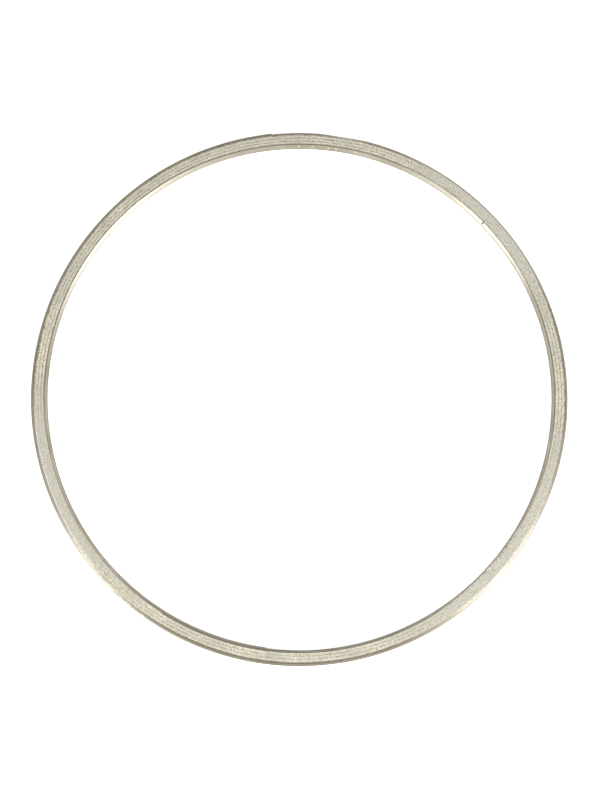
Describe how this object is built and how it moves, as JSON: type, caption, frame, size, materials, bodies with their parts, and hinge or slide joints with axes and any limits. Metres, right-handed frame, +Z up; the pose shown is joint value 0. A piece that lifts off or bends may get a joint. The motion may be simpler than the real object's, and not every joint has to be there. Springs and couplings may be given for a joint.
{
  "type": "spiral wound gasket",
  "caption": "Thin ring gasket of V-folded stainless strip wound in a flat spiral with a pale fibrous filler strip between its middle turns, open in the middle.",
  "frame": {"origin": "centre of the ring in the plane of the face it lies on", "axes": "+Z up along the bore's axis, the least extent; +X and +Y lie in the ring's plane, and the strip's inner end lies near -Y"},
  "size_m": [0.1793, 0.1793, 0.0047],
  "materials": {
    "strip_metal": "bright rolled stainless strip, slightly warm",
    "filler": "matt, mottled cream mineral fibre tape"
  },
  "bodies": {
    "root": {"metal_strip": "strip_metal", "filler_strip": "filler"}
  },
  "joints": []
}
